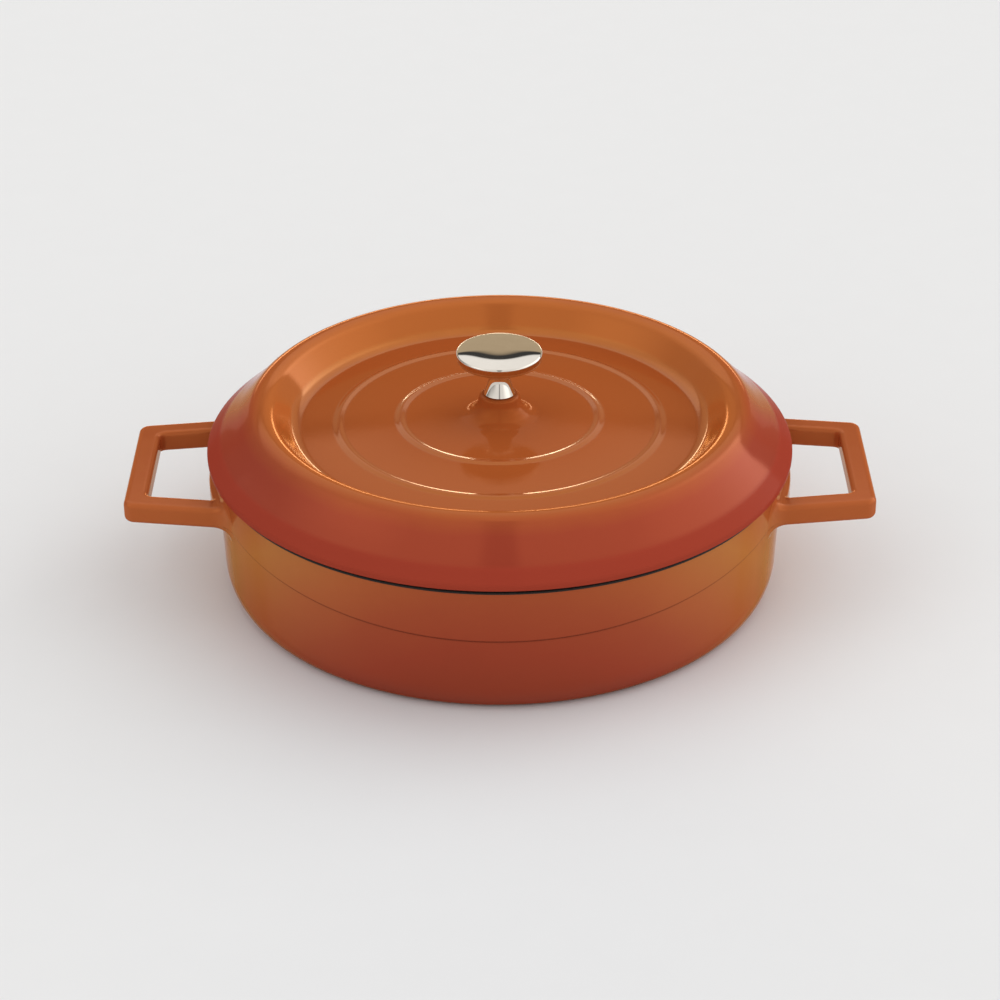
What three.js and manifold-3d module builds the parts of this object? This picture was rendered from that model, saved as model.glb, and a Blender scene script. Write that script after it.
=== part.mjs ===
// A round, shallow cast-iron casserole with two loop handles and a lift-off lid with a steel knob.
// Millimetres, +Z up. The origin is the centre of the pot's base, and the handles lie along X.
import * as THREE from 'three';
import { mergeVertices } from 'three/addons/utils/BufferGeometryUtils.js';
import Module from 'manifold-3d';

const wasm = await Module();
wasm.setup();

// Facets
const roundSegments = 48;
const knobSegments = 24;
const screwSegments = 20;
const arcStep = 18 * Math.PI / 180;

// Fits
const touchGap = 0.3;
const lidPlay = 1.2;
const screwClearance = 0.3;

// Pot
const potInnerRadius = 141.8;
const potHeight = 70;
const wallThickness = 4;
const wallDraft = 0.05;
const baseThickness = 4.2;
const baseCornerWidth = 9.6;
const baseCornerHeight = 16.6;
const insideFillet = 14;
const rimRounding = 1.1;

// The upper belt of the wall stands a little proud, and its lower edge rises towards the handles.
const beltStep = 0.8;
const beltHeight = 41.7;
const beltEdge = 1.4;
const beltSweepRadius = 862;

// Handles
const handleReach = 43.3;
const handleHalfWidth = 43.4;
const handleSplay = 8 * Math.PI / 180;
const handleBar = 11.7;
const handleThickness = 11.1;
const handleDrop = 8.4;
const handleEdge = 2.6;
const handleOuterCorner = 5;
const handleInnerCorner = 2.6;
const handleWebProud = 2.8;
const rootFilletOuter = 9;
const rootFilletHole = 4;
const rootFilletFace = 5;
const rootRun = 2;

// Lid, with heights above the pot's rim, and insets from the lid's edge or, for the rings, the ridge's foot
const lidThickness = 3.4;
const lidOverhang = 3.1;
const lidEdgeLift = 2.1;
const lidEdgeHeight = 3.2;
const lidEdgeRounding = 1;
const shoulderFillet = 2.5;
const skirtBendInset = 13.2;
const skirtBendHeight = 16.9;
const skirtBendFillet = 60;
const ridgeInset = 28.8;
const ridgeApexHeight = 33.4;
const ridgeFillet = 9;
const ridgeFootInset = 45.1;
const ridgeFootFillet = 8;
const floorCrownHeight = 19.7;
const floorCrownRadius = 990;
const ringInsets = [22.2, 53.8];
const ringWidth = 6.2;
const ringHeight = 0.6;
const ribThickness = 3.2;
const ribDepth = 4.4;

// Boss under the knob
const bossHeight = 11.5;
const bossTopRadius = 10.1;
const bossFootRadius = 12.4;
const bossTopFillet = 1.5;
const bossFootFillet = 10.5;
const bossRoof = 6;

// Knob
const knobRadius = 21.85;
const knobFootLip = 1.8;
const knobWaistWall = 2;
const knobWaistHeight = 9.9;
const knobWaistLength = 0.6;
const knobUnderFillet = 5;
const knobUnderSlope = 20 * Math.PI / 180;
const knobRimRounding = 2;
const knobCrownRadius = 250;
const knobFootSteps = 5;
const knobFootPower = 2.5;
const threadRadius = 3;
const threadDepth = 15;

// Knob fastening
const gasketThickness = 0.8;
const gasketWidth = 2.8;
const flatWasherThickness = 1.6;
const flatWasherWidth = 2.9;
const springWasherThickness = 1.6;
const springWasherWidth = 2.5;
const springWasherSlit = 1.2;
const screwHeadRadius = 5.6;
const screwHeadHeight = 3.4;
const screwHeadRounding = 1.2;
const screwSlotWidth = 1.4;
const screwSlotDepth = 1.6;
const screwTipGap = 1.4;
const screwTipChamfer = 0.6;
const headRecessPlay = 1.6;

const vec = (r, z) => new THREE.Vector2(r, z);

// The points of an arc about a centre, between two angles measured from the radial direction.
function arc(centreR, centreZ, radius, from, to) {
  const steps = Math.max(1, Math.ceil(Math.abs(to - from) / arcStep));
  return Array.from({ length: steps + 1 }, (_, i) => {
    const angle = from + (to - from) * i / steps;
    return vec(centreR + radius * Math.cos(angle), centreZ + radius * Math.sin(angle));
  });
}

// The rounding of one corner between two straight lines.
function roundedCorner(before, corner, after, radius, fixedSteps) {
  const back = before.clone().sub(corner).normalize();
  const ahead = after.clone().sub(corner).normalize();
  const half = Math.acos(THREE.MathUtils.clamp(back.dot(ahead), -1, 1)) / 2;
  const bisector = back.clone().add(ahead).normalize();
  const centre = corner.clone().addScaledVector(bisector, radius / Math.sin(half));
  const start = corner.clone().addScaledVector(back, radius / Math.tan(half)).sub(centre);
  const turn = Math.PI - 2 * half;
  const sign = Math.sign(start.cross(bisector.clone().negate())) || 1;
  const steps = fixedSteps ?? Math.max(1, Math.ceil(turn / arcStep));
  const origin = new THREE.Vector2();
  return Array.from({ length: steps + 1 }, (_, i) =>
    start.clone().rotateAround(origin, sign * turn * i / steps).add(centre));
}

// A line through corners, each with its own rounding; the first and last corner stay sharp.
function roundedLine(corners) {
  return corners.flatMap(({ at, fillet }, i) => {
    const inside = i > 0 && i < corners.length - 1 && fillet > 0;
    return inside ? roundedCorner(corners[i - 1].at, at, corners[i + 1].at, fillet) : [at];
  });
}

// The same line moved sideways by a distance, to the right of its direction.
function offsetLine(points, distance) {
  const sides = points.slice(1).map((point, i) => {
    const along = point.clone().sub(points[i]).normalize();
    const shift = vec(along.y, -along.x).multiplyScalar(distance);
    return { along, start: points[i].clone().add(shift), end: point.clone().add(shift) };
  });
  const joints = sides.slice(1).map((side, i) => {
    const last = sides[i];
    const reach = side.start.clone().sub(last.start).cross(side.along) / last.along.cross(side.along);
    return last.start.clone().addScaledVector(last.along, reach);
  });
  return [sides[0].start, ...joints, sides[sides.length - 1].end];
}

// Keeps positions only, joins shared vertices and drops triangles that have no area.
function welded(geometry) {
  geometry.deleteAttribute('normal');
  geometry.deleteAttribute('uv');
  const joined = mergeVertices(geometry, 1e-4);
  const index = [];
  for (let i = 0; i < joined.index.count; i += 3) {
    const triangle = [joined.index.getX(i), joined.index.getX(i + 1), joined.index.getX(i + 2)];
    if (new Set(triangle).size === 3) index.push(...triangle);
  }
  joined.setIndex(index);
  return joined;
}

// A profile of (radius, height) points turned about the Z axis.
function turned(profile, segments) {
  return welded(new THREE.LatheGeometry(profile, segments).rotateX(Math.PI / 2));
}

// A ring of rectangular section between two radii and two heights.
function ring(inner, outer, low, high, segments) {
  return turned([vec(inner, low), vec(outer, low), vec(outer, high), vec(inner, high), vec(inner, low)],
    segments);
}

function solid(geometry) {
  const triVerts = new Uint32Array(geometry.index.array);
  const vertProperties = new Float32Array(geometry.attributes.position.array);
  return new wasm.Manifold(new wasm.Mesh({ numProp: 3, vertProperties, triVerts }));
}

function geometryOf(manifold) {
  const mesh = manifold.getMesh();
  const geometry = new THREE.BufferGeometry();
  geometry.setAttribute('position', new THREE.BufferAttribute(mesh.vertProperties, 3));
  geometry.setIndex(new THREE.BufferAttribute(mesh.triVerts, 1));
  return geometry;
}

// Pot wall

const rimOuterRadius = potInnerRadius + wallThickness + beltStep;

const beltLine = x => beltHeight + x * x / (2 * beltSweepRadius);
const beltRadius = z => rimOuterRadius - wallDraft * (potHeight - z);
const innerRadius = z => potInnerRadius - wallDraft * (potHeight - z);

function outerRadius(x, z) {
  return beltRadius(z) - (z < beltLine(x) ? beltStep : 0);
}

function potShell() {
  const baseFlat = beltRadius(baseCornerHeight) - beltStep - baseCornerWidth;
  const corner = arc(0, 0, 1, -Math.PI / 2, 0).map(p =>
    vec(baseFlat + baseCornerWidth * p.x, baseCornerHeight * (1 + p.y)));
  const beltFoot = beltHeight - beltEdge / 2;
  const beltTop = beltHeight + beltEdge / 2;
  const rim = roundedLine([
    { at: vec(beltRadius(beltTop), beltTop) },
    { at: vec(rimOuterRadius, potHeight), fillet: rimRounding },
    { at: vec(potInnerRadius, potHeight), fillet: rimRounding },
    { at: vec(innerRadius(baseThickness), baseThickness), fillet: insideFillet },
    { at: vec(0, baseThickness) },
  ]);
  const profile = [vec(0, 0), ...corner, vec(beltRadius(beltFoot) - beltStep, beltFoot), ...rim];
  const shell = turned(profile, roundSegments);
  const position = shell.attributes.position;
  const tolerance = 1e-3;
  for (let i = 0; i < position.count; i += 1) {
    const [x, z] = [position.getX(i), position.getZ(i)];
    const outside = Math.hypot(x, position.getY(i)) > innerRadius(z) + tolerance;
    const onBelt = z > beltFoot - tolerance && z < beltTop + tolerance;
    if (outside && onBelt) position.setZ(i, z + beltLine(x) - beltHeight);
  }
  return shell;
}

// Loop handle

const handleMiddle = potHeight - handleDrop - handleThickness / 2;
const handleOuterX = rimOuterRadius + handleReach;
const handleOuterY = x => handleHalfWidth + Math.tan(handleSplay) * (handleOuterX - x);
const handleInnerY = x => handleOuterY(x) - handleBar / Math.cos(handleSplay);

// A rounded rectangle: points with the outward direction of the surface there.
function barSection() {
  const [halfBar, halfThickness] = [handleBar / 2 - handleEdge, handleThickness / 2 - handleEdge];
  const corners = [[1, -1, -90], [1, 1, 0], [-1, 1, 90], [-1, -1, 180]];
  return corners.flatMap(([side, up, from]) => [0, 45, 90].map(step => {
    const angle = (from + step) * Math.PI / 180;
    const normal = vec(Math.cos(angle), Math.sin(angle));
    const point = vec(side * halfBar, up * halfThickness).addScaledVector(normal, handleEdge);
    return { point, normal };
  }));
}

// Fillets where the bar meets the wall: wide outside, small in the hole, medium above and below.
function rootFillet(normal) {
  const side = normal.x > 0 ? rootFilletOuter : rootFilletHole;
  return side * normal.x ** 2 + rootFilletFace * normal.y ** 2;
}

function onWall(y, z) {
  const guess = Math.sqrt(rimOuterRadius ** 2 - y * y);
  return new THREE.Vector3(Math.sqrt(outerRadius(guess, z) ** 2 - y * y), y, z);
}

// The rings of one root, from inside the wall out to the bar. `side` is -1 at the front, 1 at the back.
function rootRings(section, bar, side) {
  const along = new THREE.Vector3(-Math.cos(handleSplay), side * Math.sin(handleSplay), 0);
  const kappa = 0.55;
  const curves = section.map(({ normal }, i) => {
    const start = bar[i];
    const fillet = rootFillet(normal);
    const outward = new THREE.Vector3(0, side * normal.x, normal.y);
    const foot = start.clone();
    for (let pass = 0; pass < 4; pass += 1) {
      foot.addScaledVector(along, (foot.x - onWall(foot.y, foot.z).x) / -along.x);
    }
    const wall = foot.clone().addScaledVector(outward, fillet);
    const landing = onWall(wall.y, wall.z);
    const lead = foot.clone().addScaledVector(along, -fillet);
    const radial = new THREE.Vector3(landing.x, landing.y, 0).normalize();
    const inward = foot.clone().sub(landing).projectOnPlane(radial).normalize();
    const curve = new THREE.CubicBezierCurve3(
      landing,
      landing.clone().addScaledVector(inward, kappa * fillet),
      lead.clone().addScaledVector(along, kappa * fillet),
      lead,
    );
    return { curve, sunk: landing.clone().addScaledVector(radial, -wallThickness / 2) };
  });
  const steps = [0, 0.3, 0.65, 1];
  return [curves.map(c => c.sunk), ...steps.map(t => curves.map(c => c.curve.getPoint(t)))];
}

function loopHandle() {
  const section = barSection();
  const rootY = handleOuterY(rimOuterRadius);
  const startX = Math.sqrt(rimOuterRadius ** 2 - (rootY - handleBar) ** 2) + rootFilletOuter + rootRun;
  const plan = (x, y, fillet) => {
    const corners = [vec(startX, -y(startX)), vec(x, -y(x)), vec(x, y(x)), vec(startX, y(startX))];
    const steps = 3;
    return [
      corners[0],
      ...roundedCorner(corners[0], corners[1], corners[2], fillet, steps),
      ...roundedCorner(corners[1], corners[2], corners[3], fillet, steps),
      corners[3],
    ];
  };
  const inner = plan(handleOuterX - handleBar, handleInnerY, handleInnerCorner);
  const outer = plan(handleOuterX, handleOuterY, handleOuterCorner);
  const loop = inner.map((hole, j) => {
    const across = outer[j].clone().sub(hole);
    const spare = (across.length() - handleBar) / 2;
    const centre = hole.clone().addScaledVector(across, 0.5);
    across.normalize();
    return section.map(({ point }) => {
      const flat = centre.clone().addScaledVector(across, point.x + Math.sign(point.x) * spare);
      return new THREE.Vector3(flat.x, flat.y, handleMiddle + point.y);
    });
  });
  const front = rootRings(section, loop[0], -1);
  const back = rootRings(section, loop[loop.length - 1], 1).reverse();
  return lofted([...front, ...loop, ...back]);
}

// The curved web along the wall that closes the loop on the pot's side.
function handleWeb() {
  const outer = rimOuterRadius + handleWebProud;
  const inner = beltRadius(handleMiddle) - wallThickness / 2;
  const [low, high] = [handleMiddle - handleThickness / 2, handleMiddle + handleThickness / 2];
  const section = roundedLine([
    { at: vec(inner, low) },
    { at: vec(outer, low), fillet: handleEdge },
    { at: vec(outer, high), fillet: handleEdge },
    { at: vec(inner, high) },
  ]);
  const halfTurn = Math.asin((handleInnerY(outer) + handleBar / 2) / outer);
  const steps = Math.ceil(2 * halfTurn * roundSegments / (2 * Math.PI)) * 2;
  return lofted(Array.from({ length: steps + 1 }, (_, i) => {
    const turn = halfTurn * (2 * i / steps - 1);
    return section.map(p => new THREE.Vector3(p.x * Math.cos(turn), p.x * Math.sin(turn), p.y));
  }));
}

// A closed skin over rings of equally many points, with a fan at each end.
function lofted(rings) {
  const count = rings[0].length;
  const middle = points => points.reduce((sum, p) => sum.add(p), new THREE.Vector3()).divideScalar(count);
  const vertices = [...rings.flat(), middle(rings[0]), middle(rings[rings.length - 1])];
  const [firstCap, lastCap] = [vertices.length - 2, vertices.length - 1];
  const lastRing = (rings.length - 1) * count;
  const index = [];
  for (let i = 0; i < count; i += 1) {
    const next = (i + 1) % count;
    for (let j = 0; j < lastRing; j += count) {
      index.push(j + i, j + count + i, j + next, j + next, j + count + i, j + count + next);
    }
    index.push(firstCap, i, next, lastCap, lastRing + next, lastRing + i);
  }
  const geometry = new THREE.BufferGeometry().setFromPoints(vertices);
  geometry.setIndex(index);
  return geometry;
}

function potBody() {
  const handle = geometryOf(solid(loopHandle()).add(solid(handleWeb())));
  const opposite = handle.clone().rotateZ(Math.PI);
  return geometryOf(solid(potShell()).add(solid(handle)).add(solid(opposite)));
}

// Lid

const lidRadius = rimOuterRadius + lidOverhang;
const floorHeight = r => potHeight + floorCrownHeight - r * r / (2 * floorCrownRadius);
const bossTop = floorHeight(0) + bossHeight;
const bossCeiling = bossTop - bossRoof;
const screwHole = threadRadius + screwClearance;
const flatWasherRadius = screwHole + flatWasherWidth;
const recessRadius = Math.max(flatWasherRadius, screwHeadRadius) + headRecessPlay;
const ridgeFootRadius = lidRadius - ridgeFootInset;
const ringRadii = ringInsets.map(inset => ridgeFootRadius - inset);

// A point of the lid's floor, with the two raised rings.
function onFloor(r) {
  const rise = ringRadii.reduce((sum, middle) => {
    const share = (r - middle) / ringWidth;
    return Math.abs(share) < 0.5 ? sum + ringHeight * (1 + Math.cos(2 * Math.PI * share)) / 2 : sum;
  }, 0);
  return vec(r, floorHeight(r) + rise);
}

function lid() {
  const seatZ = potHeight + touchGap;
  const seatOuter = rimOuterRadius - touchGap;
  const edgeZ = potHeight + lidEdgeLift;
  const shoulder = vec(lidRadius, edgeZ + lidEdgeHeight);
  const bend = vec(lidRadius - skirtBendInset, potHeight + skirtBendHeight);
  const apex = vec(lidRadius - ridgeInset, potHeight + ridgeApexHeight);
  const foot = vec(ridgeFootRadius, floorHeight(ridgeFootRadius));
  const floorEdge = onFloor(ridgeFootRadius - ridgeFootFillet);
  const bossFoot = vec(bossFootRadius, floorHeight(bossFootRadius));
  const floorStartRadius = bossFootRadius + 2 * bossFootFillet;

  const skirt = roundedLine([
    { at: vec(seatOuter, edgeZ) },
    { at: vec(lidRadius, edgeZ), fillet: lidEdgeRounding },
    { at: shoulder, fillet: shoulderFillet },
    { at: bend, fillet: skirtBendFillet },
    { at: apex, fillet: ridgeFillet },
    { at: foot, fillet: ridgeFootFillet },
    { at: floorEdge },
  ]);
  const rings = ringRadii.flatMap(middle =>
    [0.5, 0.25, 0, -0.25, -0.5].map(share => onFloor(middle + share * ringWidth)));
  const boss = roundedLine([
    { at: onFloor(floorStartRadius) },
    { at: bossFoot, fillet: bossFootFillet },
    { at: vec(bossTopRadius, bossTop), fillet: bossTopFillet },
    { at: vec(screwHole, bossTop) },
  ]);

  const ribOuter = innerRadius(potHeight - ribDepth) - lidPlay;
  const ribInner = ribOuter - ribThickness;
  const under = offsetLine([floorEdge, foot, apex, bend, shoulder], lidThickness);
  const ribTop = under[2].clone().lerp(under[3], (ribInner - under[2].x) / (under[3].x - under[2].x));
  const underside = roundedLine([
    { at: under[0] },
    { at: under[1], fillet: ridgeFootFillet + lidThickness },
    { at: under[2], fillet: ridgeFillet - lidThickness },
    { at: ribTop },
    { at: vec(ribInner, potHeight - ribDepth) },
    { at: vec(ribOuter, potHeight - ribDepth) },
    { at: vec(ribOuter, seatZ) },
    { at: vec(seatOuter, seatZ) },
  ]);
  const recess = [
    vec(screwHole, bossCeiling),
    vec(recessRadius, bossCeiling),
    vec(recessRadius, floorHeight(recessRadius) - lidThickness),
  ];
  const profile = [...recess, ...underside, ...skirt, ...rings, ...boss];
  return turned([...profile, profile[0]], roundSegments);
}

// Knob and its fastening, stacked on the boss

const gasketOuter = screwHole + gasketWidth;
const knobFoot = bossTop + touchGap;
const gasketLow = bossTop + touchGap;
const gasketHigh = gasketLow + gasketThickness;
const flatWasherHigh = bossCeiling - touchGap;
const flatWasherLow = flatWasherHigh - flatWasherThickness;
const springWasherHigh = flatWasherLow - touchGap;
const springWasherLow = springWasherHigh - springWasherThickness;
const headHigh = springWasherLow - touchGap;
const headLow = headHigh - screwHeadHeight;

function knob() {
  const gasketSeat = gasketHigh + touchGap;
  const gasketRecess = gasketOuter + touchGap;
  const waistRadius = screwHole + knobWaistWall;
  const holeEnd = knobFoot + threadDepth;
  const waistZ = knobFoot + knobWaistHeight;
  const trumpet = Array.from({ length: knobFootSteps + 1 }, (_, i) => {
    const rest = 1 - i / knobFootSteps;
    const flare = (gasketRecess + knobFootLip - waistRadius) * rest ** knobFootPower;
    return vec(waistRadius + flare, waistZ - knobWaistHeight * rest);
  });
  const neckTop = waistZ + knobWaistLength;
  const neckTurn = Math.PI / 2 + knobUnderSlope;
  const neck = arc(waistRadius + knobUnderFillet, neckTop, knobUnderFillet, Math.PI, neckTurn);
  const neckEnd = neck[neck.length - 1];
  const rimCentre = knobRadius - knobRimRounding;
  const underTurn = knobUnderSlope - Math.PI / 2;
  const underEdge = rimCentre + knobRimRounding * Math.cos(underTurn);
  const underZ = neckEnd.y + (underEdge - neckEnd.x) * Math.tan(knobUnderSlope);
  const rimZ = underZ - knobRimRounding * Math.sin(underTurn);
  const crownTurn = Math.asin(rimCentre / (knobCrownRadius - knobRimRounding));
  const crownZ = rimZ - (knobCrownRadius - knobRimRounding) * Math.cos(crownTurn);
  const rim = arc(rimCentre, rimZ, knobRimRounding, underTurn, Math.PI / 2 - crownTurn);
  const crown = [2 / 3, 1 / 3, 0].map(share => {
    const turn = crownTurn * share;
    return vec(knobCrownRadius * Math.sin(turn), crownZ + knobCrownRadius * Math.cos(turn));
  });
  return turned([
    vec(0, holeEnd),
    vec(screwHole, holeEnd),
    vec(screwHole, gasketSeat),
    vec(gasketRecess, gasketSeat),
    vec(gasketRecess, knobFoot),
    ...trumpet,
    ...neck,
    ...rim,
    ...crown,
  ], knobSegments);
}

function springWasher() {
  const outer = screwHole + springWasherWidth;
  const washer = ring(screwHole, outer, springWasherLow, springWasherHigh, knobSegments);
  const slit = new THREE.BoxGeometry(2 * outer, springWasherSlit, 2 * springWasherThickness)
    .translate(outer, 0, (springWasherLow + springWasherHigh) / 2);
  return geometryOf(solid(washer).subtract(solid(welded(slit))));
}

function knobScrew() {
  const tip = knobFoot + threadDepth - screwTipGap;
  const head = roundedLine([
    { at: vec(0, headLow) },
    { at: vec(screwHeadRadius, headLow), fillet: screwHeadRounding },
    { at: vec(screwHeadRadius, headHigh) },
  ]);
  const profile = [
    ...head,
    vec(threadRadius, headHigh),
    vec(threadRadius, tip - screwTipChamfer),
    vec(threadRadius - screwTipChamfer, tip),
    vec(0, tip),
  ];
  const slot = new THREE.BoxGeometry(3 * screwHeadRadius, screwSlotWidth, 2 * screwSlotDepth)
    .translate(0, 0, headLow);
  return geometryOf(solid(turned(profile, screwSegments)).subtract(solid(welded(slot))));
}

// Finishes
const potEnamel = { color: 0xb4602f, roughness: 0.2, metalness: 0 };
const lidEnamel = { color: 0xb0552d, roughness: 0.2, metalness: 0 };
const polishedSteel = { color: 0xd0cec8, roughness: 0.08, metalness: 1 };
const plainSteel = { color: 0xa9aaac, roughness: 0.35, metalness: 1 };
const darkFibre = { color: 0x3a342f, roughness: 0.8, metalness: 0 };

const pieces = [
  ['pot_body', potBody(), potEnamel],
  ['lid', lid(), lidEnamel],
  ['knob', knob(), polishedSteel],
  ['knob_gasket', ring(screwHole, gasketOuter, gasketLow, gasketHigh, knobSegments), darkFibre],
  ['flat_washer', ring(screwHole, flatWasherRadius, flatWasherLow, flatWasherHigh, knobSegments), plainSteel],
  ['spring_washer', springWasher(), plainSteel],
  ['knob_screw', knobScrew(), plainSteel],
];

const casserole = new THREE.Group();
for (const [name, geometry, finish] of pieces) {
  geometry.computeVertexNormals();
  const mesh = new THREE.Mesh(geometry, new THREE.MeshStandardMaterial(finish));
  mesh.name = name;
  casserole.add(mesh);
}

export default casserole;
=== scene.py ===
import math

import bmesh
import bpy
import numpy as np
from mathutils import Euler, Matrix, Vector


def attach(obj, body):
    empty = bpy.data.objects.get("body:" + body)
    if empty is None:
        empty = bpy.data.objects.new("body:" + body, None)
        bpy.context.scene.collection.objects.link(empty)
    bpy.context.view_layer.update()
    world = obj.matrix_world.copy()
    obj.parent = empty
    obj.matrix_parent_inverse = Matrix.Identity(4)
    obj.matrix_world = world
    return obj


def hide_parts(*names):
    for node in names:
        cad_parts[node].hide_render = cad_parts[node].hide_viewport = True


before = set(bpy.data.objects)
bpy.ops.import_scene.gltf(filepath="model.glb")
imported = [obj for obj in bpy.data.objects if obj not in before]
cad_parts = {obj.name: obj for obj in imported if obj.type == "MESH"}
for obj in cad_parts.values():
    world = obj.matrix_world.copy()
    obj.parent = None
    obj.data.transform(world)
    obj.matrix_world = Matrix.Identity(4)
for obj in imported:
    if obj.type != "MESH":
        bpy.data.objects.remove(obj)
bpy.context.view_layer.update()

# Sizes in millimetres, as in the solids.
MM = 0.001
GAP = 0.3
HOLE = 3.3

# Pot
POT_HEIGHT = 70.0
POT_INNER = 141.8
WALL = 4.0
DRAFT = 0.05
BELT_STEP = 0.8
BELT_EDGE = 0.8
BELT_HEIGHT = 41.7
BELT_SWEEP = 862.0
BASE = 4.2
CORNER_WIDTH = 9.6
CORNER_HEIGHT = 16.6
RIM_OUTER = POT_INNER + WALL + BELT_STEP
RIM_BAND = 3.0
RIM_ROUNDING = 1.1
INSIDE_FILLET = 14.0

# Handles
HANDLE_OUTER_X = RIM_OUTER + 43.3
HANDLE_HALF_WIDTH = 43.4
HANDLE_SPLAY = math.radians(8.0)
HANDLE_BAR = 11.7
HANDLE_THICKNESS = 11.1
HANDLE_MIDDLE = POT_HEIGHT - 8.4 - HANDLE_THICKNESS / 2
HANDLE_CORNER = 5.0
HANDLE_EDGE = 2.6
WEB_RADIUS = RIM_OUTER + 2.8
BLEND_INSIDE = 3.5
BLEND_OUTSIDE = 8.0

# Lid
LID_RADIUS = RIM_OUTER + 3.1
LID_THICKNESS = 3.4
LID_EDGE_Z = POT_HEIGHT + 2.1
LID_SHOULDER = (LID_RADIUS, LID_EDGE_Z + 3.2)
LID_BEND = (LID_RADIUS - 13.2, POT_HEIGHT + 16.9)
LID_APEX = (LID_RADIUS - 28.8, POT_HEIGHT + 33.4)
LID_EDGE_ROUNDING = 1.0
SHOULDER_ROUNDING = 2.5
BEND_ROUNDING = 60.0
APEX_ROUNDING = 9.0
RIDGE_FOOT = LID_RADIUS - 45.1
FOOT_ROUNDING = 8.0
FLOOR_CROWN = POT_HEIGHT + 19.7
FLOOR_SAG = 1980.0
RINGS = (RIDGE_FOOT - 22.2, RIDGE_FOOT - 53.8)
RING_WIDTH = 6.2
RING_HEIGHT = 0.6
RIB_DEPTH = 4.4
RIB_CLEARANCE = 1.2
RIB_WIDTH = 3.2
RIB_ROUNDING = 0.9
RIB_ROOT = 3.0
SEAT_FILLET = 0.8
SEAT_ROUNDING = 0.5

# Boss under the knob
BOSS_TOP = FLOOR_CROWN + 11.5
BOSS_CEILING = BOSS_TOP - 6.0
BOSS_FOOT_RADIUS = 12.4
BOSS_TOP_RADIUS = 10.1
BOSS_FILLET = 10.5
BOSS_FILLET_REACH = 21.0
BOSS_ROUNDING = 1.5
BOSS_BORE = 7.8
CEILING_ROUNDING = 40.0

# Knob
KNOB_FOOT = BOSS_TOP + GAP
KNOB_TOP = KNOB_FOOT + 24.21
KNOB_RADIUS = 21.85
KNOB_RIM = 1.8
KNOB_BROW = 1.1
KNOB_SIDE = 2.4
KNOB_EDGE_TILT = 7.5
KNOB_UNDER_SLOPE = 15.0
KNOB_NECK = 5.0
KNOB_WAIST = HOLE + 2.0
KNOB_WAIST_HEIGHT = 9.9
KNOB_WAIST_LENGTH = 0.6
KNOB_FOOT_LIP = 1.8
KNOB_FOOT_ROUNDING = 0.3
KNOB_FLARE_POWER = 1.35
THREAD_DEPTH = 15.0

# Fastening
GASKET_WIDTH = 2.8
GASKET_THICKNESS = 0.8
GASKET_EDGE = 0.25
FLAT_WASHER_WIDTH = 2.9
FLAT_WASHER_EDGE = 0.2
SPRING_WASHER_WIDTH = 2.5
SPRING_WASHER_EDGE = 0.25
SPRING_WASHER_SLIT = 1.2
WASHER_THICKNESS = 1.6
SCREW_RADIUS = 3.0
SCREW_PITCH = 1.0
SCREW_RIDGE = 0.28
SCREW_POINT_RADIUS = 2.4
SCREW_TIP_GAP = 1.4
SCREW_RUNOUT = (0.8, 0.7)
SCREW_HEAD_RADIUS = 5.6
SCREW_HEAD_HEIGHT = 3.4
SCREW_HEAD_ROUNDING = 1.2
SCREW_HEAD_EDGE = 0.2
SCREW_SLOT = (20.0, 1.4, 3.2)

# Fineness of the meshes
ARC_STEP = 4.0
SHARP_ANGLE = math.radians(38.0)
POT_COLUMNS = 288
LID_COLUMNS = 384
KNOB_COLUMNS = 128
RING_COLUMNS = 96
SCREW_COLUMNS = 40
SPRING_WASHER_COLUMNS = 72
THREAD_ROWS = 8
WALL_ROWS = 10
BELT_EDGE_ROWS = 13
LID_FLOOR_ROWS = 150
KNOB_FLARE_ROWS = 20
KNOB_CROWN_ROWS = 24
BASE_STEP = 30.0
SKIRT_STEP = 3.0
UNDERSIDE_STEP = 12.0
KNOB_STEP = 2.0
HANDLE_STEP = 0.9


# Profiles: points are (radius, height), angles are in degrees.

def arc(centre, radius, start, end):
    count = max(2, math.ceil(abs(end - start) / ARC_STEP))
    angles = np.radians(np.linspace(start, end, count + 1))
    return [(centre[0] + radius * math.cos(a), centre[1] + radius * math.sin(a)) for a in angles]


def rounded_corner(before, corner, after, radius):
    before, corner, after = (np.array(p[:2], float) for p in (before, corner, after))
    back = (before - corner) / np.linalg.norm(before - corner)
    ahead = (after - corner) / np.linalg.norm(after - corner)
    half = math.acos(max(-1.0, min(1.0, float(back @ ahead)))) / 2
    bisector = (back + ahead) / np.linalg.norm(back + ahead)
    centre = corner + bisector * radius / math.sin(half)
    start = corner + back * radius / math.tan(half) - centre
    turn = math.pi - 2 * half
    sign = 1.0 if start[0] * -bisector[1] + start[1] * bisector[0] > 0 else -1.0
    count = max(2, math.ceil(math.degrees(turn) / ARC_STEP))
    points = []
    for i in range(count + 1):
        a = sign * turn * i / count
        c, s = math.cos(a), math.sin(a)
        points.append((centre[0] + c * start[0] - s * start[1], centre[1] + s * start[0] + c * start[1]))
    return points


def rounded_line(*corners):
    """Corners are (radius, height) or (radius, height, fillet)."""
    points = [corners[0][:2]]
    for before, corner, after in zip(corners, corners[1:], corners[2:]):
        if len(corner) > 2:
            points += rounded_corner(before, corner, after, corner[2])
        else:
            points.append(corner[:2])
    return points + [corners[-1][:2]]


def rounded_section(inner, outer, low, high, edge):
    """A ring's closed section, from the middle of its bore round to there again."""
    middle = (low + high) / 2
    return rounded_line((inner, middle), (inner, low, edge), (outer, low, edge), (outer, high, edge),
                        (inner, high, edge), (inner, middle))


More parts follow.
